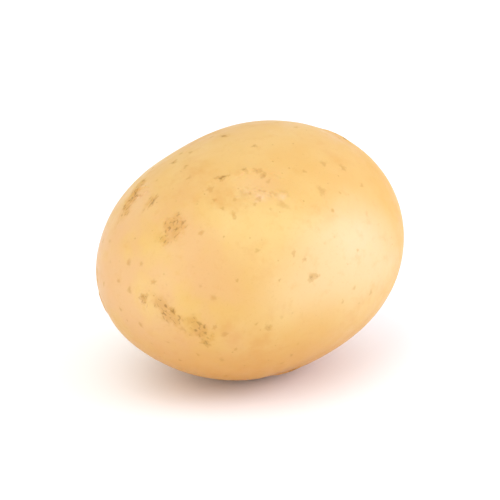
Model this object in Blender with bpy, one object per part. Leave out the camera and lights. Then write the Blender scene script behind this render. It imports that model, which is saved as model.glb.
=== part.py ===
"""Potato: one ripe tuber lying on its side, on the small flat spot that its weight has pressed.

Metres, +Z up. The long axis lies along X: the rose end, where the eyes crowd, points to -X, and
the stem end, with the scar of the stolon, points to +X. The origin is on the surface that the
tuber lies on, under the middle of its box.
"""

import math

import bmesh
import bpy
from mathutils import Vector

# The whole tuber, over its swell but without its eyes.
LENGTH = 0.083
WIDTH = 0.067
HEIGHT = 0.0625

# Its stem half is a little fuller than its rose half, by this share of the girth at the tip.
STEM_FULLNESS = 0.045
# The stem tip lies this far above the middle of the height, and the rose tip as far below.
STEM_TIP_RISE = 0.0015

# The flat spot under the middle, measured across the tuber.
REST_SPOT_WIDTH = 0.013

# Broad swellings and, where the height is negative, hollows of the flesh.
# Each is the direction from the middle, the height, and the spread in degrees.
SWELLINGS = [
    ((0.36, 0.13, 0.93), 0.0005, 34),
    ((-0.11, 0.51, 0.85), -0.0006, 26),
    ((-0.61, 0.18, -0.77), -0.0010, 26),
    ((0.24, -0.59, -0.77), -0.0006, 24),
    ((0.85, -0.35, 0.40), 0.0005, 30),
    ((0.55, 0.80, -0.20), -0.0009, 34),
    ((-0.35, 0.93, 0.10), 0.0007, 32),
]

# Eyes, in the order they grew. Each is its angle from the rose tip, its turn round the long axis
# from the top towards +Y, and how far its brow leans from the stem side, all in degrees, then the
# width of its brow and its depth.
EYES = [
    (12, -82, 0, 0.0050, 0.0004),
    (23, -98, 15, 0.0075, 0.0004),
    (27, 118, -10, 0.0070, 0.0006),
    (38, -108, -20, 0.0080, 0.0005),
    (39, -24, 30, 0.0085, 0.0005),
    (46, 22, 20, 0.0085, 0.0008),
    (52, 160, -12, 0.0090, 0.0009),
    (66, 88, 14, 0.0100, 0.0010),
    (73, -32, 60, 0.0148, 0.0010),
    (84, -148, -18, 0.0105, 0.0009),
    (98, 52, 25, 0.0110, 0.0010),
    (112, 128, -8, 0.0110, 0.0009),
    (124, -12, 20, 0.0105, 0.0007),
]
# The brow is the low ridge of the leaf scar that arches over an eye, more or less on its stem side.
BROW_HEIGHT = 0.00035

# The scar at the stem tip, where the stolon broke off.
SCAR_WIDTH = 0.0065
SCAR_DEPTH = 0.0012
SCAR_LIP_HEIGHT = 0.0003

# The proportions of an eye and of the scar, as shares of half its width.
HOLLOW_LENGTH = 0.50
BROW_AHEAD = 0.62
BROW_ARCH = 0.45
BROW_THICKNESS = 0.28
LIP_RADIUS = 1.3
LIP_THICKNESS = 0.4
# An eye's relief has faded out at this many times its width.
EYE_REACH = 1.5

# The net of triangles: first even, then finer round what is small.
NET_SUBDIVISIONS = 5
# The finer net round an eye reaches this many times the eye's width from its middle.
REFINED_SHARE = 0.75
# Corners this near to the level of the flat spot are moved onto it.
LEVEL_SNAP = 0.00004

SKIN_COLOUR = (0.67, 0.43, 0.14, 1.0)
SKIN_ROUGHNESS = 0.45


def swelling(direction):
    """How far the broad swellings lift the skin in this direction."""
    lift = 0.0
    for centre, height, spread in SWELLINGS:
        angle = direction.angle(Vector(centre))
        lift += height * math.exp(-((angle / math.radians(spread)) ** 2))
    return lift


def outward(direction):
    """The way the skin faces at the point that this direction gives."""
    return Vector((direction.x / LENGTH, direction.y / WIDTH, direction.z / HEIGHT)).normalized()


def body_point(direction):
    """The point on the swollen ovoid that this direction of a unit sphere becomes."""
    fullness = 1 + STEM_FULLNESS * direction.x
    ovoid = Vector((
        LENGTH / 2 * direction.x,
        WIDTH / 2 * direction.y * fullness,
        HEIGHT / 2 * direction.z * fullness + STEM_TIP_RISE * direction.x,
    ))
    return ovoid + outward(direction) * swelling(direction)


def direction_at(from_rose, turn):
    """The direction at this angle from the rose tip, turned from the top towards +Y."""
    along = -math.cos(math.radians(from_rose))
    girth = math.sin(math.radians(from_rose))
    return Vector((
        along,
        girth * math.sin(math.radians(turn)),
        girth * math.cos(math.radians(turn)),
    ))


def grown_eyes():
    """Each eye as its direction from the middle, its lean, its width and its depth."""
    eyes = []
    for from_rose, turn, lean, width, depth in EYES:
        eyes.append((direction_at(from_rose, turn), math.radians(lean), width, depth))
    return eyes


def eye_relief(point, direction, lean, width, depth):
    """How far one eye raises the skin at this point: its brow up, its hollow down."""
    offset = point - body_point(direction)
    if offset.length > width * EYE_REACH:
        return 0.0
    normal = outward(direction)
    stemward = (Vector((1, 0, 0)) - normal * normal.x).normalized()
    sideways = normal.cross(stemward)
    browward = stemward * math.cos(lean) + sideways * math.sin(lean)
    side = offset.dot(normal.cross(browward)) / (width / 2)
    ahead = offset.dot(browward) / (width / 2)
    hollow = math.exp(-(side ** 2) - (ahead / HOLLOW_LENGTH) ** 2)
    brow_line = BROW_AHEAD - BROW_ARCH * side ** 2
    brow = math.exp(-((ahead - brow_line) / BROW_THICKNESS) ** 2 - side ** 4)
    return BROW_HEIGHT * brow - depth * hollow


def scar_relief(point):
    """How far the stem scar raises the skin at this point: a round pit inside a low lip."""
    stem_tip = body_point(Vector((1, 0, 0)))
    share = (point - stem_tip).length / (SCAR_WIDTH / 2)
    pit = math.exp(-(share ** 4))
    lip = math.exp(-((share - LIP_RADIUS) / LIP_THICKNESS) ** 2)
    return SCAR_LIP_HEIGHT * lip - SCAR_DEPTH * pit


def refine(bm, regions):
    """Split the net's edges once inside each region, given by its direction and its reach."""
    near = []
    for edge in bm.edges:
        middle = (edge.verts[0].co + edge.verts[1].co) / 2
        if any(middle.angle(direction) < reach for direction, reach in regions):
            near.append(edge)
    bmesh.ops.subdivide_edges(bm, edges=near, cuts=1)
    bmesh.ops.triangulate(bm, faces=bm.faces[:])
    for vertex in bm.verts:
        vertex.co.normalize()


def make_net(bm):
    """A unit sphere of triangles, finer round the eyes, the stem scar and the flat spot."""
    bmesh.ops.create_icosphere(bm, subdivisions=NET_SUBDIVISIONS, radius=1.0)
    regions = [(Vector((1, 0, 0)), SCAR_WIDTH / (WIDTH / 2))]
    for direction, _lean, width, _depth in grown_eyes():
        regions.append((direction, REFINED_SHARE * width / body_point(direction).length))
    regions.append((Vector((0, 0, -1)), REST_SPOT_WIDTH / (WIDTH / 2)))
    refine(bm, regions)


def shape_tuber(bm):
    """Move the net's corners onto the tuber, with every eye and the stem scar pressed in."""
    eyes = grown_eyes()
    for vertex in bm.verts:
        direction = vertex.co.copy()
        point = body_point(direction)
        relief = scar_relief(point) + sum(eye_relief(point, *eye) for eye in eyes)
        vertex.co = point + outward(direction) * relief


def flatten_rest_spot(bm):
    """Cut the underside level at the flat spot's width and close it with a flat face."""
    lowest = min(vertex.co.z for vertex in bm.verts)
    underside_radius = WIDTH ** 2 / (2 * HEIGHT)
    depth = REST_SPOT_WIDTH ** 2 / (8 * underside_radius)
    cut = bmesh.ops.bisect_plane(
        bm,
        geom=bm.verts[:] + bm.edges[:] + bm.faces[:],
        dist=LEVEL_SNAP,
        plane_co=(0, 0, lowest + depth),
        plane_no=(0, 0, 1),
        use_snap_center=True,
        clear_inner=True,
    )
    rim = [item for item in cut["geom_cut"] if isinstance(item, bmesh.types.BMEdge)]
    bmesh.ops.edgeloop_fill(bm, edges=rim)


def stand_at_origin(bm):
    """Bring the middle of the box's lower face to the origin."""
    lows = [min(vertex.co[axis] for vertex in bm.verts) for axis in range(3)]
    highs = [max(vertex.co[axis] for vertex in bm.verts) for axis in range(3)]
    middle = Vector(((lows[0] + highs[0]) / 2, (lows[1] + highs[1]) / 2, lows[2]))
    bmesh.ops.translate(bm, vec=-middle, verts=bm.verts[:])


def skin_material():
    """Pale yellow skin with a slight waxy shine."""
    material = bpy.data.materials.new("potato_skin")
    material.use_nodes = True
    shader = material.node_tree.nodes["Principled BSDF"]
    shader.inputs["Base Color"].default_value = SKIN_COLOUR
    shader.inputs["Roughness"].default_value = SKIN_ROUGHNESS
    shader.inputs["Metallic"].default_value = 0.0
    return material


def make_potato():
    """The whole tuber as one closed body."""
    bm = bmesh.new()
    make_net(bm)
    shape_tuber(bm)
    flatten_rest_spot(bm)
    stand_at_origin(bm)
    bmesh.ops.triangulate(bm, faces=bm.faces[:])
    bmesh.ops.recalc_face_normals(bm, faces=bm.faces[:])
    mesh = bpy.data.meshes.new("potato")
    bm.to_mesh(mesh)
    bm.free()
    mesh.materials.append(skin_material())
    mesh.shade_smooth()
    potato = bpy.data.objects.new("potato", mesh)
    bpy.context.scene.collection.objects.link(potato)
    return potato


def main():
    for item in list(bpy.data.objects):
        bpy.data.objects.remove(item)
    make_potato()


main()
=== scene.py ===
import bmesh
import bpy
import math
import random
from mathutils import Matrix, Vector, kdtree, noise
from mathutils.bvhtree import BVHTree


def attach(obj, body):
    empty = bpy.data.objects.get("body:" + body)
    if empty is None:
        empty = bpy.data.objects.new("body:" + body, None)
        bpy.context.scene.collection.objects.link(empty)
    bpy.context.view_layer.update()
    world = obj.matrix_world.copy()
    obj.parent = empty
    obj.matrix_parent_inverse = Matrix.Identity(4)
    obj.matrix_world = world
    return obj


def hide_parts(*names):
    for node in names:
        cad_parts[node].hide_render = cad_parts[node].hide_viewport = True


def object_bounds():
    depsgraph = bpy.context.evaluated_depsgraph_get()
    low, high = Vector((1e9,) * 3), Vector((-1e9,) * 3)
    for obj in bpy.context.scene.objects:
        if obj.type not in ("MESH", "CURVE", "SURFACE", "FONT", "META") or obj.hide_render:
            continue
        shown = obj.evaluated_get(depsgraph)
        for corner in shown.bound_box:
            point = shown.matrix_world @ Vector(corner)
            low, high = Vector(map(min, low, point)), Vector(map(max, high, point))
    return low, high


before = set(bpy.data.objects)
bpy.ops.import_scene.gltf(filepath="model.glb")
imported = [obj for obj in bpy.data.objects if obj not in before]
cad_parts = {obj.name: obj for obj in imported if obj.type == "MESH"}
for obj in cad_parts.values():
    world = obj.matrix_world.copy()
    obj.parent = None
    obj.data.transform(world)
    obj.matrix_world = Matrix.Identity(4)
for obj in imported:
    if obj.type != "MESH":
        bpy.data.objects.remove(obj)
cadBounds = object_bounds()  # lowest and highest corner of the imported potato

mm = 0.001  # sizes below are in millimetres, angles in degrees
noise.seed_set(3)  # without it noise vectors differ from run to run

# the CAD potato's own ovoid, so that a mark given by two angles lands where the CAD has it
ovoid = {
    "middleHeight": 30.5 * mm,
    "halfLength": 41.5 * mm,
    "halfWidth": 33.5 * mm,
    "halfHeight": 31.3 * mm,
    "stemFullness": 0.045,
    "stemTipRise": 1.5 * mm,
}


def eased(value, low, high):  # 0 below low, 1 above high, smooth between
    share = min(1.0, max(0.0, (value - low) / (high - low)))
    return share * share * (3 - 2 * share)


def hump(distance, width):  # 1 at no distance, almost 0 at twice the width
    return math.exp(-((distance / width) ** 2))


def measureCad():
    bm = bmesh.new()
    bm.from_mesh(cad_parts["potato"].data)
    bmesh.ops.remove_doubles(bm, verts=bm.verts, dist=0.001 * mm)  # its triangles are loose
    tree = BVHTree.FromBMesh(bm)
    bm.free()
    return tree


cadSkin = measureCad()


def markAt(fromRose, turn, twist=0.0):
    # fromRose is the angle from the rose tip, turn goes round the long axis from the top to +Y
    along = -math.cos(math.radians(fromRose))
    girth = math.sin(math.radians(fromRose))
    side = girth * math.sin(math.radians(turn))
    rise = girth * math.cos(math.radians(turn))
    full = 1 + ovoid["stemFullness"] * along
    spot = Vector((
        ovoid["halfLength"] * along,
        ovoid["halfWidth"] * side * full,
        ovoid["middleHeight"] + ovoid["halfHeight"] * rise * full + ovoid["stemTipRise"] * along,
    ))
    normal = Vector((
        along / ovoid["halfLength"],
        side / ovoid["halfWidth"],
        rise / ovoid["halfHeight"],
    )).normalized()
    atTip = abs(normal.x) >= 0.999  # where nothing along the skin leads to the stem, so up will do
    guide = Vector((0, 0, 1)) if atTip else Vector((1, 0, 0))
    stemward = (guide - normal * normal.dot(guide)).normalized()
    across = normal.cross(stemward)
    lean = math.radians(twist)
    return {
        "place": cadSkin.find_nearest(spot)[0],
        "ahead": stemward * math.cos(lean) + across * math.sin(lean),
        "across": across * math.cos(lean) - stemward * math.sin(lean),
    }


def treeOf(marks):  # finds the marks near a point quickly
    tree = kdtree.KDTree(len(marks))
    for index, mark in enumerate(marks):
        tree.insert(mark["place"], index)
    tree.balance()
    return tree


waves = {  # no tuber is an even ovoid
    "broadSpan": 19 * mm,
    "broadHeight": 0.30 * mm,
    "smallSpan": 6.5 * mm,
    "smallHeight": 0.055 * mm,
    "smallShift": Vector((9, 4, 2)),  # so that they don't repeat the broad ones
    "levelBelow": 3.5 * mm,  # they fade out towards the flat spot
}


def waveAt(point):
    broad = noise.noise(point / waves["broadSpan"]) * waves["broadHeight"]
    small = noise.noise(point / waves["smallSpan"] + waves["smallShift"]) * waves["smallHeight"]
    return (broad + small) * eased(point.z, 0, waves["levelBelow"])


eyes = {
    # angle from the rose tip, turn, lean of the brow, width, how marked
    "places": [
        (12, -82, 0, 5.0, 0.5),
        (23, -98, 15, 7.5, 0.3),
        (27, 118, -10, 7.0, 0.8),
        (38, -108, -20, 8.0, 0.3),
        (39, -24, 30, 8.5, 0.4),
        (46, 22, 20, 8.5, 0.8),
        (52, 160, -12, 9.0, 0.9),
        (66, 88, 14, 10.0, 1.0),
        (73, -32, 60, 14.8, 1.0),
        (84, -148, -18, 10.5, 0.9),
        (98, 52, 25, 11.0, 1.0),
        (112, 128, -8, 11.0, 0.9),
        (124, -12, 20, 10.5, 0.7),
    ],
    # shares of half the width
    "reach": 1.5,
    "hollowAhead": 0.05,
    "hollowWidth": 0.66,
    "browAhead": 0.62,  # this and the arch are as in the CAD
    "browArch": 0.45,
    "browRagged": 0.07,
    "browEnds": (0.55, 1.0),  # it fades out between these
    "lineAhead": 0.02,  # its dark line
    "lineWidth": 0.13,
    "foldEdge": (-0.10, 0.03),
    "foldWidth": 0.28,
    "creaseBack": 0.05,  # behind the brow, and then a fainter wrinkle
    "creaseWidth": 0.06,
    "wrinkleBack": 0.27,
    "wrinkleWidth": 0.05,
    "wrinkleShare": 0.6,  # of the crease's depth
    "foldHeight": 0.26 * mm,  # the leaf scar's edge, steep towards the bud
    "creaseDepth": 0.14 * mm,
    "raggedSpan": 1.5 * mm,
    "widestBrowDark": 0.35,  # its flecks are among the lenticels
    # buds of the widest eye: towards its side, towards its brow, radius (all mm), how marked
    "widestBuds": [
        (-0.3, -3.2, 1.70, 1.0),
        (1.2, -4.6, 0.50, 0.6),
        (3.0, -1.7, 0.95, 0.5),
        (5.4, -3.4, 0.45, 0.5),
        (-4.9, -3.0, 1.30, 0.8),
    ],
    # buds of the others: one in the middle, and smaller ones at one or both sides of it
    "budSeed": 12,
    "middleSway": 0.1,  # this and the next three are shares of half the eye's width
    "middleBack": 0.15,
    "sideApart": (0.38, 0.62),
    "sideAhead": (-0.3, 0.1),
    "middleRadius": (0.45, 0.08),  # mm, and how much more for each mm of half the width
    "sideRadius": (0.4, 0.7),  # mm
    "sideMarked": 0.5,
    # every bud, in shares of its radius
    "domeWidth": 0.70,
    "cleftWidth": 0.2,
    "cleftDepth": 0.3,
    "budPitAt": 1.25,
    "budPitWidth": 0.50,
    "budPitEnds": (-1.2, 1.2),  # from its far side to its brow side
    "budPitBreak": (-0.30, 0.30),  # noise between which the pit is broken off
    "budHeight": 0.26 * mm,
    "budPitDepth": 0.17 * mm,
    "budPitSpan": 0.95 * mm,
    "budPitShift": Vector((3, 1, 7)),
    "warp": 0.60 * mm,  # keeps the buds from being round
    "warpSpan": 1.3 * mm,
}


def growBuds(draw, half):
    sway = draw.uniform(-eyes["middleSway"], eyes["middleSway"])
    least, growth = eyes["middleRadius"]
    buds = [(sway * half, -eyes["middleBack"] * half, least + growth * half, 1.0)]
    for way in draw.choice(((1,), (-1,), (1, -1))):
        apart = way * draw.uniform(*eyes["sideApart"]) * half
        ahead = draw.uniform(*eyes["sideAhead"]) * half
        buds.append((apart, ahead, draw.uniform(*eyes["sideRadius"]), eyes["sideMarked"]))
    return buds


def growEyes():
    draw = random.Random(eyes["budSeed"])
    widest = max(width for _, _, _, width, _ in eyes["places"])
    marks = []
    for fromRose, turn, lean, width, strength in eyes["places"]:
        mark = markAt(fromRose, turn, lean)
        half = width / 2
        mark.update(half=half * mm, strength=strength, buds=growBuds(draw, half), browDark=1.0)
        if width == widest:
            mark.update(buds=eyes["widestBuds"], browDark=eyes["widestBrowDark"])
        marks.append(mark)
    return marks


def budAt(side, ahead, radius, broken):  # a low dome, with a broken pit on its brow side
    away = math.hypot(side * 0.85, ahead) / radius
    cleft = hump((side + 0.2 * ahead) / radius, eyes["cleftWidth"])
    dome = hump(away, eyes["domeWidth"]) * (1 - eyes["cleftDepth"] * cleft)
    pit = hump(away - eyes["budPitAt"], eyes["budPitWidth"])
    pit *= eased(ahead / radius, *eyes["budPitEnds"])
    pit *= eased(broken, *eyes["budPitBreak"])
    return dome, pit


def browAt(side, fromBrow, ragged):  # height of the leaf scar's fold, and how dark its line is
    along = 1 - eased(abs(side), *eyes["browEnds"])
    fold = eased(fromBrow, *eyes["foldEdge"]) * hump(max(0.0, fromBrow), eyes["foldWidth"]) * along
    crease = hump(fromBrow + eyes["creaseBack"], eyes["creaseWidth"]) * along
    crease *= 0.7 + 0.7 * ragged
    wrinkle = hump(fromBrow + eyes["wrinkleBack"], eyes["wrinkleWidth"]) * along
    wrinkle *= max(0.0, 0.3 + ragged)
    depth = (crease + eyes["wrinkleShare"] * wrinkle) * eyes["creaseDepth"]
    browLine = along * hump(fromBrow - eyes["lineAhead"], eyes["lineWidth"])
    return fold * eyes["foldHeight"] - depth, browLine


def eyeAt(mark, point):  # height, and the shares of its marks
    offset = point - mark["place"]
    if offset.length > eyes["reach"] * mark["half"]:
        return 0.0, {}
    side = offset.dot(mark["across"]) / mark["half"]
    ahead = offset.dot(mark["ahead"]) / mark["half"]
    ragged = noise.noise(point / eyes["raggedSpan"])
    fromBrow = ahead - eyes["browAhead"] + eyes["browArch"] * side ** 2
    height, brow = browAt(side, fromBrow - eyes["browRagged"] * ragged, ragged)
    bud = pit = 0.0
    broken = noise.noise(point / eyes["budPitSpan"] + eyes["budPitShift"])
    bent = offset + noise.noise_vector(point / eyes["warpSpan"]) * eyes["warp"]
    for budSide, budAhead, radius, marked in mark["buds"]:
        fromBud = bent - (mark["across"] * budSide + mark["ahead"] * budAhead) * mm
        sideways = fromBud.dot(mark["across"])
        rise, sink = budAt(sideways, fromBud.dot(mark["ahead"]), radius * mm, broken)
        height += (rise * eyes["budHeight"] - sink * eyes["budPitDepth"]) * marked
        bud = max(bud, rise * marked)
        pit = max(pit, sink * marked)
    strength = mark["strength"]
    fromHollow = math.hypot(side * 0.85, 1.3 * (ahead - eyes["hollowAhead"]))
    return height * strength, {
        "hollow": hump(fromHollow, eyes["hollowWidth"]) * strength,
        "brow": brow * mark["browDark"] * strength,
        "bud": bud * strength,
        "budPit": pit * strength,
    }


lenticels = {  # the corky breathing pores, each a pit inside a low rim
    # the ones that stand out: angle from the rose tip, turn, radius, how dark, stretch, its lean
    "strong": [
        (83, 7, 0.60, 0.8, 1.4, 80),
        (64, 15, 0.55, 0.8, 1.2, 30),
        (65, -18, 0.50, 0.95, 2.3, 150),
        (84, -11, 0.50, 0.6, 1.3, 0),
        (44, 4, 0.50, 0.85, 2.6, 5),
        (13, -77, 0.70, 1.3, 1.3, 60),
        (26, -92, 0.50, 0.9, 1.2, 0),
        (42, -81, 0.60, 0.4, 1.1, 0),
        (41, -117, 0.60, 0.8, 1.9, -30),
        (47, -107, 0.50, 0.5, 1.3, 40),
        (62, -103, 0.62, 0.6, 1.3, 70),
        (78, -81, 0.75, 0.7, 1.6, 20),
        (76, -72, 0.40, 0.5, 1.2, 20),
        (100, -34, 0.65, 0.5, 1.2, 0),
        (107, -38, 0.55, 0.5, 1.6, 90),
        (111, -49, 0.50, 0.5, 1.3, 20),
        (107, -62, 0.45, 0.3, 1.3, 50),
        (92, -46, 0.80, 0.5, 1.3, 80),
        (59, -20, 0.60, 0.5, 1.2, 0),
        (58, -5, 0.45, 0.4, 1.2, 0),
        (46, -39, 0.50, 0.5, 1.3, 0),
        (38, -72, 0.40, 0.3, 1.2, 0),
        (17, -5, 0.50, 0.5, 1.4, 10),
        (20, -25, 0.45, 0.4, 1.2, 0),
        (20, -55, 0.50, 0.5, 1.3, 0),
        (7, -41, 0.50, 0.5, 1.4, 30),
        (85, -68, 0.40, 0.3, 1.3, 0),
        (95, -92, 0.45, 0.4, 1.4, 30),
        # flecks on the widest eye's brow and round its buds
        (73, -21.5, 0.42, 0.62, 2.0, 105),
        (76.4, -25, 0.50, 0.60, 1.9, 145),
        (77, -28.5, 0.55, 0.58, 1.4, 10),
        (76.8, -32, 0.42, 0.40, 1.6, 10),
        (70, -38, 0.42, 0.62, 1.2, 60),
        (67.5, -39.5, 0.36, 0.40, 1.3, 20),
        (67, -32, 1.00, 0.30, 1.5, 150),
        (62.7, -32.5, 0.45, 0.40, 1.2, 0),
        (76, -45.5, 0.85, 0.38, 1.8, 115),
    ],
    "scattered": 150,
    "seed": 31,
    "crowding": 1.25,  # above 1 they crowd towards the rose end
    "radius": (0.26, 0.50),
    "stretch": (1.0, 1.6),
    "dark": (0.12, 0.6),
    "clearance": 2.8 * mm,  # between neighbours, and from an eye's middle
    # all of them
    "reach": 3.0 * mm,
    "arms": (1, 2, 3, 3, 5),  # each is cracked out into so many
    "armLength": 0.20,  # this and what follows, up to the spans, are shares of the radius
    "armEdge": (0.2, 0.8),
    "ragged": 0.40,
    "crumbly": 0.35,
    "rimAt": 1.1,
    "rimWidth": 0.4,
    "pitEdge": (0.1, 0.95),
    "stainEdge": (0.1, 2.1),  # how far the skin round it is stained
    "raggedSpan": 0.75 * mm,
    "crumbSpan": 0.33 * mm,
    "rimHeight": 0.035 * mm,
    "pitDepth": 0.080 * mm,
}


def growLenticels(eyeMarks):
    draw = random.Random(lenticels["seed"])
    marks = []
    for fromRose, turn, radius, dark, stretch, lean in lenticels["strong"]:
        mark = markAt(fromRose, turn, lean)
        mark.update(radius=radius * mm, stretch=stretch, strength=dark)
        marks.append(mark)
    taken = [mark["place"] for mark in marks + eyeMarks]
    while len(marks) < len(lenticels["strong"]) + lenticels["scattered"]:
        nearRose = draw.random() ** lenticels["crowding"]
        fromRose = math.degrees(math.acos(1 - 2 * nearRose))
        mark = markAt(fromRose, draw.uniform(-180, 180), draw.uniform(0, 180))
        mark["radius"] = draw.uniform(*lenticels["radius"]) * mm
        mark["stretch"] = draw.uniform(*lenticels["stretch"])
        mark["strength"] = draw.uniform(*lenticels["dark"])
        if min((mark["place"] - other).length for other in taken) > lenticels["clearance"]:
            marks.append(mark)
            taken.append(mark["place"])
    for mark in marks:
        mark.update(arms=draw.choice(lenticels["arms"]), phase=draw.uniform(0, math.tau))
    return marks


def lenticelAt(mark, point):
    offset = point - mark["place"]
    along = offset.dot(mark["ahead"]) / (mark["radius"] * mark["stretch"])
    across = offset.dot(mark["across"]) / mark["radius"]
    star = math.cos(mark["arms"] * math.atan2(across, along) + mark["phase"])
    away = math.hypot(along, across)
    away /= 1 + lenticels["armLength"] * star * eased(away, *lenticels["armEdge"])
    ragged = lenticels["ragged"] * noise.noise(point / lenticels["raggedSpan"])
    crumbly = lenticels["crumbly"] * noise.noise(point / lenticels["crumbSpan"])
    away *= 1 + ragged + crumbly
    rim = hump(away - lenticels["rimAt"], lenticels["rimWidth"])
    pit = 1 - eased(away, *lenticels["pitEdge"])
    height = rim * lenticels["rimHeight"] - pit * lenticels["pitDepth"]
    stain = 1 - eased(away, *lenticels["stainEdge"])
    return height * mark["strength"], {"lenticel": stain * mark["strength"]}


russet = {  # patches where the skin has cracked into a fine corky net
    # angle from the rose tip, turn, half length and half width, how strong, its lean
    "patches": [
        (39, -24, 5.0, 3.0, 1.0, 12),
        (23, -95, 5.4, 3.4, 1.0, -30),
        (37, -106, 5.0, 3.0, 1.0, -37),
        (46, 28, 8.0, 2.4, 1.2, 2),
        (43, 7, 3.4, 1.1, 0.7, 4),
        (66, -6, 4.0, 2.0, 0.3, 40),
        (30, 95, 5.0, 3.0, 0.8, 40),
        (48, 168, 5.5, 3.2, 0.8, 10),
        (85, 165, 5.0, 3.5, 0.5, -20),
        (160, 60, 6.0, 3.0, 0.5, 30),
        (158, -120, 6.0, 3.0, 0.5, -20),
    ],
    "reach": 2.5,  # half lengths
    "edge": (0.15, 0.95),  # of a patch, softly
    "ragged": 0.55,  # how ragged its edge is, and the same more finely
    "crumbly": 0.35,
    "raggedSpan": 2.1 * mm,
    "crumbSpan": 0.8 * mm,
    "cell": 0.98 * mm,
    "cellStretch": 2.9,  # the cells of the net are longer one way
    "bend": 0.45,  # cells
    "bendSpan": 1.3 * mm,
    "crackEdge": (0.03, 0.26),  # cells
    "breakSpan": 0.9 * mm,
    "breakEdge": (-0.24, 0.18),  # noise between which a crack is broken off
    "crackDepth": 0.05 * mm,
    "scabHeight": 0.03 * mm,
    "scabSpan": 0.7 * mm,
}


def growRusset():
    marks = []
    for fromRose, turn, length, width, strength, lean in russet["patches"]:
        mark = markAt(fromRose, turn, lean)
        mark.update(length=length * mm, width=width * mm, strength=strength)
        marks.append(mark)
    return marks


def russetAt(mark, point):  # how russeted the skin is here, and whether on a crack of its net
    offset = point - mark["place"]
    if offset.length > russet["reach"] * mark["length"]:
        return {}
    along = offset.dot(mark["ahead"])
    across = offset.dot(mark["across"])
    coarse = russet["ragged"] * noise.noise(point / russet["raggedSpan"])
    fine = russet["crumbly"] * noise.noise(point / russet["crumbSpan"])
    inside = hump(math.hypot(along / mark["length"], across / mark["width"]), 1.0)
    scurf = eased(inside + (coarse + fine) * 0.7, *russet["edge"]) * mark["strength"]
    if scurf < 0.02:  # too little for a net
        return {"russet": scurf}
    flat = Vector((along / russet["cellStretch"], across, 0)) / russet["cell"]
    bent = flat + russet["bend"] * noise.noise_vector(point / russet["bendSpan"])
    distances, _ = noise.voronoi(bent)
    whole = eased(noise.noise(point / russet["breakSpan"]), *russet["breakEdge"])
    crack = (1 - eased(distances[1] - distances[0], *russet["crackEdge"])) * whole
    return {"russet": scurf, "crack": crack * scurf}


stemScar = {  # the corky pit where the stolon broke off, with a torn stub in it
    "radius": 2.9 * mm,
    # shares of the radius
    "reach": 5,
    "stubWidth": 0.26,
    "collarAt": 0.62,
    "collarWidth": 0.13,
    "corkEdge": (0.60, 1.15),
    "wrinkleEdge": (0.7, 1.3),  # they start between these and fade out further off
    "haloAt": 1.0,  # the russet ring round it
    "haloWidth": 0.85,
    # heights, and the spans of their unevenness
    "stubHeight": 0.9 * mm,
    "stubSpan": 0.45 * mm,
    "collarHeight": 0.22 * mm,
    "collarSpan": 0.6 * mm,
    "corkHeight": 0.13 * mm,
    "corkSpan": 0.9 * mm,
    "crumbSpan": 0.35 * mm,
    "wrinkles": 11,
    "wrinkleHeight": 0.10 * mm,
    "wrinkleSpan": 5 * mm,
    "haloSpan": 1.7 * mm,
}


def scarAt(mark, point):
    offset = point - mark["place"]
    share = offset.length / stemScar["radius"]
    if share > stemScar["reach"]:
        return 0.0, {}
    around = math.atan2(offset.dot(mark["across"]), offset.dot(mark["ahead"]))
    ragged = noise.noise(point / stemScar["corkSpan"])
    crumbs = noise.noise(point / stemScar["crumbSpan"])
    cork = 1 - eased(share + 0.30 * ragged, *stemScar["corkEdge"])
    rough = cork * stemScar["corkHeight"] * (ragged + 0.6 * crumbs)
    torn = noise.noise(point / stemScar["stubSpan"])
    stub = hump(share, stemScar["stubWidth"]) * (1 + 0.45 * torn)
    uneven = 0.6 + 0.8 * noise.noise(point / stemScar["collarSpan"])
    collar = hump(share - stemScar["collarAt"] - 0.1 * ragged, stemScar["collarWidth"]) * uneven
    drift = 1.4 * noise.noise(point / stemScar["wrinkleSpan"])
    fold = math.sin(stemScar["wrinkles"] * around + 4 * drift)
    fold *= eased(share, *stemScar["wrinkleEdge"])
    wrinkle = fold * stemScar["wrinkleHeight"] * hump(max(0.0, share - 1), 1.0)
    patchy = eased(0.5 + noise.noise(point / stemScar["haloSpan"]), 0.2, 0.9)
    halo = hump(share - stemScar["haloAt"], stemScar["haloWidth"]) * patchy
    height = stub * stemScar["stubHeight"] + collar * stemScar["collarHeight"] + rough + wrinkle
    return height, {"cork": cork, "stub": min(1.0, stub), "russet": halo}


skinMesh = {  # one closed fine mesh round the CAD potato
    "subdivisions": 7,  # of the icosphere that is laid onto the CAD potato
    "smoothings": 26,  # rounds that take the CAD's facets away
    "splits": 3,  # rounds that make the net finer where the relief is sharp
    "sag": 0.006 * mm,  # an edge is split if the relief leaves it by more than this
    "shortest": 0.11 * mm,
}

eyeMarks = growEyes()
lenticelMarks = growLenticels(eyeMarks)
russetMarks = growRusset()
scarMark = markAt(180, 0)
eyeTree = treeOf(eyeMarks)
lenticelTree = treeOf(lenticelMarks)
eyeReach = eyes["reach"] * max(mark["half"] for mark in eyeMarks)
markNames = ["hollow", "brow", "bud", "budPit", "lenticel", "russet", "crack", "cork", "stub"]
print("eyes:", len(eyeMarks))
print("lenticels:", len(lenticelMarks))
print("russet patches:", len(russetMarks))


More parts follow.
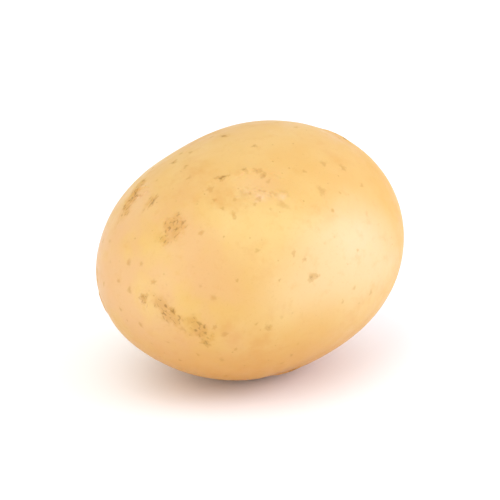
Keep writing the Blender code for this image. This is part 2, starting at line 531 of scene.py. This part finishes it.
def reliefAt(point):  # height of everything on the skin here, and the marks for its colours
    found = []
    for _, index, _ in eyeTree.find_range(point, eyeReach):
        found.append(eyeAt(eyeMarks[index], point))
    for _, index, _ in lenticelTree.find_range(point, lenticels["reach"]):
        found.append(lenticelAt(lenticelMarks[index], point))
    found.append(scarAt(scarMark, point))
    for mark in russetMarks:
        found.append((0.0, russetAt(mark, point)))
    height = waveAt(point)
    marks = dict.fromkeys(markNames, 0.0)
    for rise, shares in found:
        height += rise
        for name, share in shares.items():
            marks[name] = max(marks[name], share)
    scab = marks["russet"] * (0.5 + noise.noise(point / russet["scabSpan"]))
    height += scab * russet["scabHeight"] - marks["crack"] * russet["crackDepth"]
    return height, marks


def layOntoCad(bm):
    bmesh.ops.create_icosphere(bm, subdivisions=skinMesh["subdivisions"], radius=1.0)
    middle = Vector((0, 0, ovoid["middleHeight"]))
    for vert in bm.verts:
        toSkin = Vector((
            vert.co.x * ovoid["halfLength"],
            vert.co.y * ovoid["halfWidth"],
            vert.co.z * ovoid["halfHeight"],
        ))
        vert.co = cadSkin.ray_cast(middle, toSkin.normalized())[0]
    for _ in range(skinMesh["smoothings"]):
        bmesh.ops.smooth_vert(
            bm, verts=bm.verts, factor=0.5, use_axis_x=True, use_axis_y=True, use_axis_z=True
        )


def splitWhereSharp(bm):
    heights = {}

    def heightAt(point):
        key = tuple(point)
        if key not in heights:
            heights[key] = reliefAt(point)[0]
        return heights[key]

    for _ in range(skinMesh["splits"]):
        sharp = set()
        for edge in bm.edges:
            start, end = (vert.co for vert in edge.verts)
            if (end - start).length < 2 * skinMesh["shortest"]:
                continue
            between = heightAt((start + end) / 2)
            if abs(between - (heightAt(start) + heightAt(end)) / 2) > skinMesh["sag"]:
                sharp.add(edge)
        # a triangle with two split edges has its third split too, so that no slivers are left
        waiting = list(sharp)
        while waiting:
            for face in waiting.pop().link_faces:
                whole = [edge for edge in face.edges if edge not in sharp]
                if len(whole) == 1:
                    sharp.add(whole[0])
                    waiting.append(whole[0])
        bmesh.ops.subdivide_edges(
            bm,
            edges=[edge for edge in bm.edges if edge in sharp],
            cuts=1,
            use_grid_fill=True,
            use_single_edge=True,
        )
        print("split", len(sharp), "edges:", len(bm.faces), "triangles")


def raiseRelief(bm):
    layers = {name: bm.verts.layers.float.new(name) for name in markNames}
    bm.normal_update()
    moves = []
    for vert in bm.verts:
        height, marks = reliefAt(vert.co)
        moves.append(vert.normal * height)
        for name, value in marks.items():
            vert[layers[name]] = value
    for vert, move in zip(bm.verts, moves):
        vert.co += move
        vert.co.z = max(vert.co.z, 0.0)  # pressed flat where it lies


def makeSkin():
    bm = bmesh.new()
    layOntoCad(bm)
    print("skin laid onto the CAD potato:", len(bm.faces), "triangles")
    splitWhereSharp(bm)
    raiseRelief(bm)
    bmesh.ops.recalc_face_normals(bm, faces=bm.faces)
    mesh = bpy.data.meshes.new("potato_skin")
    bm.to_mesh(mesh)
    bm.free()
    mesh.shade_smooth()
    skin = bpy.data.objects.new("potato_skin", mesh)
    bpy.context.scene.collection.objects.link(skin)
    return skin


# red, green and blue from 0 to 255, as a colour picker shows them
skinTones = {
    # used only for the painted highlight on the upper -Y side
    "highlightCream": (217, 185, 130),
    "pale": (216, 182, 112),
    "body": (210, 167, 90),
    "deep": (200, 143, 62),
    # used only for the painted warm reflected light towards the stem end
    "reflectedGolden": (207, 154, 50),
    "rosy": (210, 163, 118),
    "tan": (176, 129, 52),
    "brown": (124, 87, 22),
    "bud": (222, 182, 140),
    "cork": (162, 120, 64),
}

# noise patterns: span, detail, roughness, the values between which each comes in, how strongly
skinPatterns = {
    "drift": (26 * mm, 3, 0.55, 0.36, 0.66, 1.0),
    "warmth": (14 * mm, 4, 0.6, 0.52, 0.74, 0.55),
    "rosiness": (11 * mm, 3, 0.5, 0.30, 0.60, 1.0),
    "mottle": (3.2 * mm, 5, 0.62, 0.50, 0.78, 0.30),
    "grain": (0.45 * mm, 3, 0.6, 0.55, 0.80, 0.22),
    "pore": (0.9 * mm, 2, 0.5, 0.42, 0.62, 1.0),
    "fleck": (1.5 * mm, 3, 0.5, 0.50, 0.62, 1.0),
    "cork": (0.9 * mm, 4, 0.7, 0.40, 0.58, 1.0),
}

skinFinish = {
    # where along X, Y or Z a tone comes in: from, to, how strongly
    "roseEnd": (-14 * mm, -40 * mm, 0.65),
    # painted reflection: a golden tone that comes in towards the stem end, standing in for warm
    # reflected light
    "stemEndReflection": (6 * mm, 34 * mm, 0.75),
    # painted highlight: this entry and the next make the upper -Y side creamier where the key
    # light's sheen falls
    "highlightFlank": (-25 * mm, -33 * mm, 0.85),  # the -Y side, above the height that follows
    "highlightFlankHeight": (19 * mm, 33 * mm, 1.0),
    # painted shade: a deeper, darker tone that comes in towards the bottom
    "underside": (31 * mm, 4 * mm, 0.90),
    # painted shade: a little of the deeper, darker tone on the top
    "crownShade": (46 * mm, 62 * mm, 0.25),
    # how the marks of an eye are stained: mark, tone, how strongly
    "stains": [
        ("hollow", "rosy", 0.35),
        ("budPit", "tan", 0.35),
        ("bud", "bud", 0.65),
    ],
    # how marks are tinted: mark, tone, from, to, how strongly
    "tints": [
        ("bud", "tan", 0.85, 0.99, 0.25),
        ("russet", "deep", 0.1, 1.4, 0.30),
        ("russet", "tan", 0.1, 1.5, 0.34),
        ("crack", "brown", 0.20, 1.1, 0.58),
        ("lenticel", "tan", 0.06, 0.40, 0.35),
    ],
    "cork": 0.9,
    # how the brown of marks comes in: from, to, how strongly
    "pores": (0.35, 0.90, 0.62),
    "flecks": (0.25, 0.95, 0.62),
    "stub": (0.15, 0.75, 0.75),
    # freckles in some cells of a pattern: how large, in which cells and how strongly
    "freckleSpan": 2.3 * mm,
    "freckleEdge": (0.15, 0.06),
    "freckles": (0.60, 0.95, 0.5),
    "roughness": 0.43,
    "glossNoise": (5 * mm, 4, 0.6),
    "glossDrift": (0.3, 0.7, 0.07, -0.06),  # noise from, to, and the roughness it adds and takes
    "dullness": 0.30,  # how much rougher dry marks are than the waxy skin
    # the fine relief that the mesh leaves out
    "peelNoise": (1.6 * mm, 2, 0.5),
    "peel": 0.7,
    "fineNoise": (0.30 * mm, 3, 0.65),
    "fine": 0.35,
    "fineWhereDry": 0.9,
    "reliefStrength": 0.55,
    "reliefDepth": 0.09 * mm,
    "refraction": 1.46,
    "glow": 0.22,  # subsurface weight
    "glowColour": (1.0, 0.48, 0.16),
    "glowDepth": 1.6 * mm,
}


def linear(colour):
    channels = []
    for value in colour:
        share = value / 255
        channels.append(share / 12.92 if share <= 0.04045 else ((share + 0.055) / 1.055) ** 2.4)
    return (*channels, 1.0)


def addNode(tree, kind, settings=None, sockets=None):
    made = tree.nodes.new(kind)
    for name, value in (settings or {}).items():
        setattr(made, name, value)
    for name, value in (sockets or {}).items():
        if isinstance(value, bpy.types.NodeSocket):
            tree.links.new(value, made.inputs[name])
        else:
            made.inputs[name].default_value = value
    return made


def mixed(tree, share, low, high):
    sockets = {0: share, 6: low, 7: high}
    return addNode(tree, "ShaderNodeMix", {"data_type": "RGBA"}, sockets).outputs[2]


def calc(tree, operation, first, second=0.0, third=0.0):
    sockets = {0: first, 1: second, 2: third}
    return addNode(tree, "ShaderNodeMath", {"operation": operation}, sockets).outputs[0]


def ramp(tree, value, low, high, most=1.0, least=0.0):  # least below low, most above high
    sockets = {"Value": value, "From Min": low, "From Max": high, "To Min": least, "To Max": most}
    settings = {"interpolation_type": "SMOOTHSTEP"}
    return addNode(tree, "ShaderNodeMapRange", settings, sockets).outputs[0]


def tinted(tree, colour, tone, value, low, high, most):  # the tone comes in from low to high
    return mixed(tree, ramp(tree, value, low, high, most), colour, tone)


def noiseOn(tree, coords, span, detail, roughness):
    sockets = {"Vector": coords, "Scale": 1 / span, "Detail": detail, "Roughness": roughness}
    return addNode(tree, "ShaderNodeTexNoise", None, sockets).outputs[0]


def patternOn(tree, coords, name):
    span, detail, roughness, low, high, most = skinPatterns[name]
    return ramp(tree, noiseOn(tree, coords, span, detail, roughness), low, high, most)


def markOn(tree, name):
    return addNode(tree, "ShaderNodeAttribute", {"attribute_name": name}).outputs["Fac"]


# besides drifts of tone, this adds painted reflection towards the stem end, a painted highlight on
# the upper -Y side and painted shade at the bottom and top
def fleshColour(tree, coords, tones):  # broad drifts of tone, then mottling, then grain
    place = addNode(tree, "ShaderNodeSeparateXYZ", None, {0: coords}).outputs
    colour = mixed(tree, patternOn(tree, coords, "drift"), tones["body"], tones["pale"])
    colour = mixed(tree, patternOn(tree, coords, "warmth"), colour, tones["deep"])
    roseEnd = ramp(tree, place["X"], *skinFinish["roseEnd"])
    rosy = calc(tree, "MULTIPLY", roseEnd, patternOn(tree, coords, "rosiness"))
    colour = mixed(tree, rosy, colour, tones["rosy"])
    # painted reflection: golden towards the stem end, standing in for warm reflected light
    colour = tinted(tree, colour, tones["reflectedGolden"], place["X"], *skinFinish["stemEndReflection"])
    # painted highlight: the upper -Y side is mixed towards a creamy tone
    highlightFlank = ramp(tree, place["Y"], *skinFinish["highlightFlank"])
    highlightFlankHeight = ramp(tree, place["Z"], *skinFinish["highlightFlankHeight"])
    colour = mixed(tree, calc(tree, "MULTIPLY", highlightFlank, highlightFlankHeight), colour, tones["highlightCream"])
    # painted shade: darker and deeper towards the bottom
    colour = tinted(tree, colour, tones["deep"], place["Z"], *skinFinish["underside"])
    # painted shade: a little darker on the top
    colour = tinted(tree, colour, tones["deep"], place["Z"], *skinFinish["crownShade"])
    colour = mixed(tree, patternOn(tree, coords, "mottle"), colour, tones["deep"])
    return mixed(tree, patternOn(tree, coords, "grain"), colour, tones["tan"])


def freckledColour(tree, coords, tones, colour):  # faint freckles between the lenticels
    sockets = {"Vector": coords, "Scale": 1 / skinFinish["freckleSpan"]}
    cells = addNode(tree, "ShaderNodeTexVoronoi", None, sockets)
    spot = ramp(tree, cells.outputs["Distance"], *skinFinish["freckleEdge"])
    chance = addNode(tree, "ShaderNodeSeparateXYZ", None, {0: cells.outputs["Color"]}).outputs["X"]
    chosen = ramp(tree, chance, *skinFinish["freckles"])
    return mixed(tree, calc(tree, "MULTIPLY", spot, chosen), colour, tones["tan"])


def markedColour(tree, coords, tones, marks, colour):
    for name, tone, most in skinFinish["stains"]:
        colour = mixed(tree, calc(tree, "MULTIPLY", marks[name], most), colour, tones[tone])
    for name, tone, low, high, most in skinFinish["tints"]:
        colour = tinted(tree, colour, tones[tone], marks[name], low, high, most)
    pores = ramp(tree, marks["lenticel"], *skinFinish["pores"])
    pores = calc(tree, "MULTIPLY", pores, patternOn(tree, coords, "pore"))
    colour = mixed(tree, pores, colour, tones["brown"])
    flecks = calc(tree, "MULTIPLY", marks["brow"], patternOn(tree, coords, "fleck"))
    colour = tinted(tree, colour, tones["brown"], flecks, *skinFinish["flecks"])
    corkTone = mixed(tree, patternOn(tree, coords, "cork"), tones["tan"], tones["cork"])
    cork = calc(tree, "MULTIPLY", marks["cork"], skinFinish["cork"])
    colour = mixed(tree, cork, colour, corkTone)
    return tinted(tree, colour, tones["brown"], marks["stub"], *skinFinish["stub"])


def skinMaterial():
    material = bpy.data.materials.new("washed_potato_skin")
    material.use_nodes = True
    tree = material.node_tree
    shader = tree.nodes["Principled BSDF"]
    coords = addNode(tree, "ShaderNodeTexCoord").outputs["Object"]
    marks = {name: markOn(tree, name) for name in markNames}
    tones = {name: linear(colour) for name, colour in skinTones.items()}

    colour = fleshColour(tree, coords, tones)
    colour = freckledColour(tree, coords, tones, colour)
    colour = markedColour(tree, coords, tones, marks, colour)
    tree.links.new(colour, shader.inputs["Base Color"])

    dry = calc(tree, "MAXIMUM", marks["cork"], marks["russet"])
    dry = calc(tree, "MAXIMUM", dry, marks["lenticel"])
    gloss = noiseOn(tree, coords, *skinFinish["glossNoise"])
    gloss = ramp(tree, gloss, *skinFinish["glossDrift"])
    rough = calc(tree, "ADD", gloss, skinFinish["roughness"])
    rough = calc(tree, "MULTIPLY_ADD", dry, skinFinish["dullness"], rough)
    tree.links.new(rough, shader.inputs["Roughness"])

    peel = noiseOn(tree, coords, *skinFinish["peelNoise"])
    fine = noiseOn(tree, coords, *skinFinish["fineNoise"])
    fineWhereDry = calc(tree, "MULTIPLY", fine, dry)
    relief = calc(tree, "MULTIPLY", fine, skinFinish["fine"])
    relief = calc(tree, "MULTIPLY_ADD", peel, skinFinish["peel"], relief)
    relief = calc(tree, "MULTIPLY_ADD", fineWhereDry, skinFinish["fineWhereDry"], relief)
    sockets = {
        "Strength": skinFinish["reliefStrength"],
        "Distance": skinFinish["reliefDepth"],
        "Height": relief,
    }
    bump = addNode(tree, "ShaderNodeBump", None, sockets)
    tree.links.new(bump.outputs["Normal"], shader.inputs["Normal"])

    shader.inputs["Metallic"].default_value = 0.0
    shader.inputs["IOR"].default_value = skinFinish["refraction"]
    shader.inputs["Subsurface Weight"].default_value = skinFinish["glow"]
    shader.inputs["Subsurface Radius"].default_value = skinFinish["glowColour"]
    shader.inputs["Subsurface Scale"].default_value = skinFinish["glowDepth"]
    return material


potatoSkin = makeSkin()
potatoSkin.data.materials.append(skinMaterial())
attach(potatoSkin, "root")
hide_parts("potato")
print("skin:", len(potatoSkin.data.polygons), "triangles")


stage = {  # its sizes and distances are in metres
    "floorSize": 5.0,
    "floorColour": (251, 251, 251),
    "floorRoughness": 0.6,
    "surround": (255, 255, 255),
    "surroundStrength": 1.00,
    # name, azimuth round the potato, elevation, distance, width, height, watts, colour
    "softboxes": [
        ("key_right", 46, 14, 1.00, 0.75, 0.95, 9.4, (216, 219, 255)),
        ("fill_left", -76, 14, 1.15, 0.50, 0.50, 2.1, (255, 255, 255)),
        ("fill_top", -78, 55, 1.10, 0.90, 0.90, 3.4, (255, 255, 255)),
    ],
    "cameraAzimuth": -42,
    "cameraElevation": 20,
    "cameraDistance": 0.64,
    "lens": 185,
}


def wayFrom(azimuth, elevation):  # from the potato towards a camera or light at these angles
    turn = math.radians(azimuth)
    lift = math.radians(elevation)
    level = math.cos(lift)
    return Vector((math.sin(turn) * level, -math.cos(turn) * level, math.sin(lift)))


def makeFloor():
    bm = bmesh.new()
    bmesh.ops.create_grid(bm, x_segments=8, y_segments=8, size=stage["floorSize"] / 2)
    mesh = bpy.data.meshes.new("floor")
    bm.to_mesh(mesh)
    bm.free()
    material = bpy.data.materials.new("pale_floor")
    material.use_nodes = True
    shader = material.node_tree.nodes["Principled BSDF"]
    shader.inputs["Base Color"].default_value = linear(stage["floorColour"])
    shader.inputs["Roughness"].default_value = stage["floorRoughness"]
    mesh.materials.append(material)
    floor = bpy.data.objects.new("floor", mesh)
    bpy.context.scene.collection.objects.link(floor)


def makeLights(aim):
    for name, azimuth, elevation, distance, width, height, watts, colour in stage["softboxes"]:
        light = bpy.data.lights.new(name, "AREA")
        light.shape = "RECTANGLE"
        light.size = width
        light.size_y = height
        light.energy = watts
        light.color = linear(colour)[:3]
        box = bpy.data.objects.new(name, light)
        bpy.context.scene.collection.objects.link(box)
        way = wayFrom(azimuth, elevation)
        box.location = aim + way * distance
        box.rotation_euler = way.to_track_quat("Z", "Y").to_euler()
    world = bpy.data.worlds.new("studio")
    world.use_nodes = True
    background = world.node_tree.nodes["Background"]
    background.inputs["Color"].default_value = linear(stage["surround"])
    background.inputs["Strength"].default_value = stage["surroundStrength"]
    bpy.context.scene.world = world


def makeCamera(aim):
    data = bpy.data.cameras.new("camera")
    data.lens = stage["lens"]
    camera = bpy.data.objects.new("camera", data)
    bpy.context.scene.collection.objects.link(camera)
    way = wayFrom(stage["cameraAzimuth"], stage["cameraElevation"])
    camera.location = aim + way * stage["cameraDistance"]
    camera.rotation_euler = way.to_track_quat("Z", "Y").to_euler()
    bpy.context.scene.camera = camera


aim = (cadBounds[0] + cadBounds[1]) / 2
makeFloor()
makeLights(aim)
makeCamera(aim)
bpy.context.scene.view_settings.view_transform = "Standard"
print("stage set")
